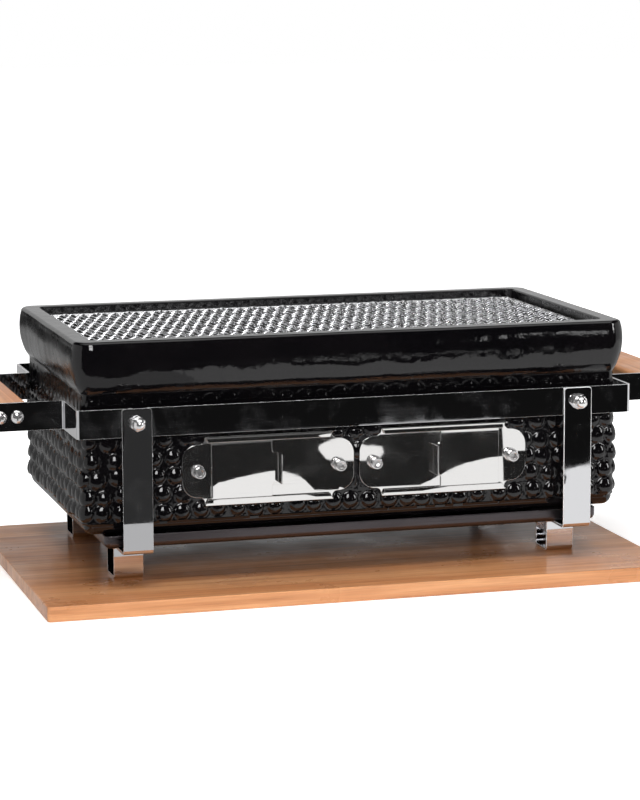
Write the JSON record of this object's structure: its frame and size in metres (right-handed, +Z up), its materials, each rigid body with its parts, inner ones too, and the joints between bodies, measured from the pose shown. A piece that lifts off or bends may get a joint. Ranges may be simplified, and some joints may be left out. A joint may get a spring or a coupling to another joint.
{
  "type": "hibachi grill",
  "caption": "Table-top hibachi: glazed ceramic fire trough with woven mesh and sliding air vents, in a bolted strap cradle with wooden grips on a bamboo board.",
  "frame": {"origin": "on the board's underside, midway between the four feet of the cradle", "axes": "+X along the trough to the right-hand grip, +Y to the back (the air vents face -Y), +Z up"},
  "size_m": [0.55, 0.3041, 0.1905],
  "materials": {
    "bamboo": "oiled, satin",
    "black_glaze": "gloss black glaze over small round bumps",
    "tray_steel": "satin grey",
    "mesh_wire": "bright plated wire",
    "mesh_edge": "bright folded edging",
    "grate_steel": "dull grey",
    "strap_steel": "polished stainless steel",
    "fastener_steel": "polished stainless steel",
    "spring_steel": "satin",
    "insert_brass": "turned",
    "grip_wood": "oiled, satin",
    "vent_steel": "mirror polished sheet"
  },
  "bodies": {
    "board": {"base_board": "bamboo"},
    "grill": {"ceramic_body": "black_glaze", "base_tray": "tray_steel", "front_band": "strap_steel", "back_band": "strap_steel", "left_hoop": "strap_steel", "right_hoop": "strap_steel", "hoop_bolts": "fastener_steel", "dome_nuts": "fastener_steel", "left_grip": "grip_wood", "right_grip": "grip_wood", "grip_screws": "fastener_steel", "vent_frame_left": "vent_steel", "vent_frame_right": "vent_steel", "vent_screws": "fastener_steel", "vent_washers": "fastener_steel", "vent_spring_washers": "spring_steel", "vent_inserts": "insert_brass"},
    "mesh": {"cooking_mesh": "mesh_wire", "mesh_frame": "mesh_edge"},
    "grate": {"charcoal_grate": "grate_steel"},
    "left_door": {"vent_door_left": "vent_steel"},
    "right_door": {"vent_door_right": "vent_steel"}
  },
  "joints": [
    {"name": "grill_lift", "type": "slide", "parent": "board", "child": "grill", "axis": [0, 0, 1], "range_m": [0, 0.1]},
    {"name": "mesh_lift", "type": "slide", "parent": "grill", "child": "mesh", "axis": [0, 0, 1], "range_m": [0, 0.08]},
    {"name": "grate_lift", "type": "slide", "parent": "grill", "child": "grate", "axis": [0, 0, 1], "range_m": [0, 0.06]},
    {"name": "left_vent_slide", "type": "slide", "parent": "grill", "child": "left_door", "axis": [1, 0, 0], "range_m": [0, 0.038]},
    {"name": "right_vent_slide", "type": "slide", "parent": "grill", "child": "right_door", "axis": [-1, 0, 0], "range_m": [0, 0.038]}
  ]
}
